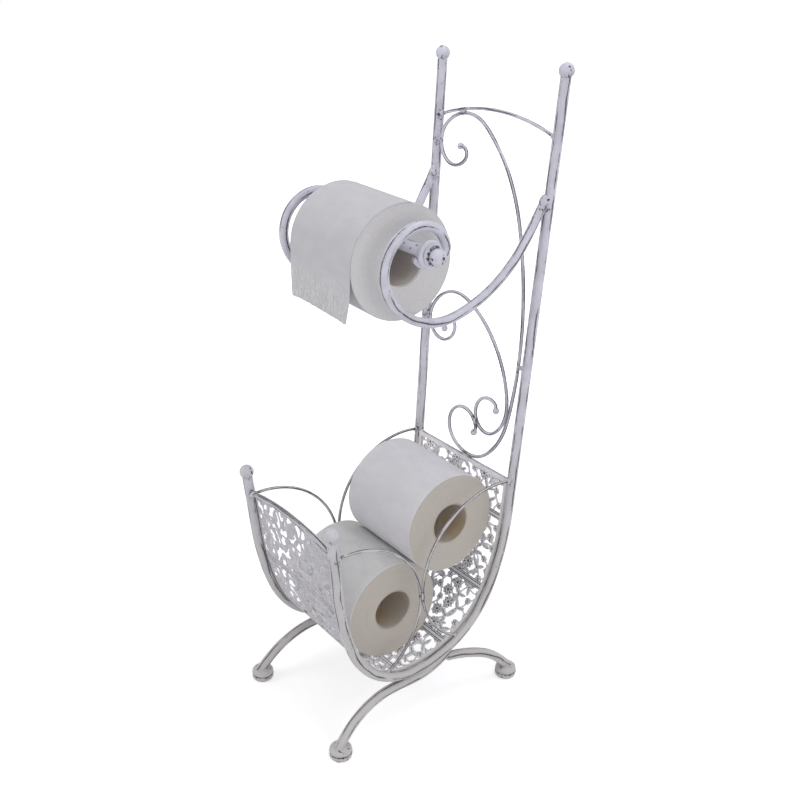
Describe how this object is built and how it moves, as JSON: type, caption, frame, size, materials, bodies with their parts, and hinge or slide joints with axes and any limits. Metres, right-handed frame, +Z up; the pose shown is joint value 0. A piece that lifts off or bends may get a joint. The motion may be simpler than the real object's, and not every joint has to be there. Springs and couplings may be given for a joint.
{
  "type": "freestanding toilet paper holder",
  "caption": "Wire-and-tube floor stand with a roll on a lift-out spindle in looped arms above a pierced curved cradle for spare rolls, on arched legs",
  "frame": {"origin": "on the floor, under the middle of the width and of the depth", "axes": "+X to the holder's right as seen by someone facing its front from -Y, +Y to the back, +Z up"},
  "size_m": [0.2186, 0.2682, 0.6646],
  "materials": {
    "paint": "antiqued off-white paint rubbed dark along edges and welds",
    "tissue": "white embossed tissue",
    "card": "plain brown-grey card"
  },
  "bodies": {
    "frame": {"side_hoop_right": "paint", "front_finial_right": "paint", "rear_finial_right": "paint", "front_leg_right": "paint", "rear_leg_right": "paint", "front_foot_right": "paint", "rear_foot_right": "paint", "front_guard_right": "paint", "rear_guard_right": "paint", "roll_arm_right": "paint", "side_hoop_left": "paint", "front_finial_left": "paint", "rear_finial_left": "paint", "front_leg_left": "paint", "rear_leg_left": "paint", "front_foot_left": "paint", "rear_foot_left": "paint", "front_guard_left": "paint", "rear_guard_left": "paint", "roll_arm_left": "paint", "front_rail": "paint", "rear_rail": "paint", "top_arch": "paint", "cradle_sheet": "paint", "large_scroll": "paint", "small_scroll": "paint"},
    "spindle": {"spindle_rod": "paint", "spindle_disc_right": "paint", "spindle_disc_left": "paint", "spindle_knob_right": "paint", "spindle_knob_left": "paint", "paper_tail": "tissue"},
    "main_roll": {"main_roll_paper": "tissue", "main_roll_core": "card"},
    "lower_roll": {"lower_roll_paper": "tissue", "lower_roll_core": "card"},
    "upper_roll": {"upper_roll_paper": "tissue", "upper_roll_core": "card"}
  },
  "joints": [
    {"name": "spindle_lift", "type": "slide", "parent": "frame", "child": "spindle", "axis": [0, 0, 1], "range_m": [0, 0.012]},
    {"name": "main_roll_spin", "type": "hinge", "parent": "spindle", "child": "main_roll", "pos_m": [0, -0.02686, 0.49845], "axis": [0.9986, -0.0523, 0], "continuous": true},
    {"name": "lower_roll_lift", "type": "slide", "parent": "frame", "child": "lower_roll", "axis": [0, 0, 1], "range_m": [0, 0.1]},
    {"name": "upper_roll_lift", "type": "slide", "parent": "lower_roll", "child": "upper_roll", "axis": [0, 0, 1], "range_m": [0, 0.08]}
  ]
}
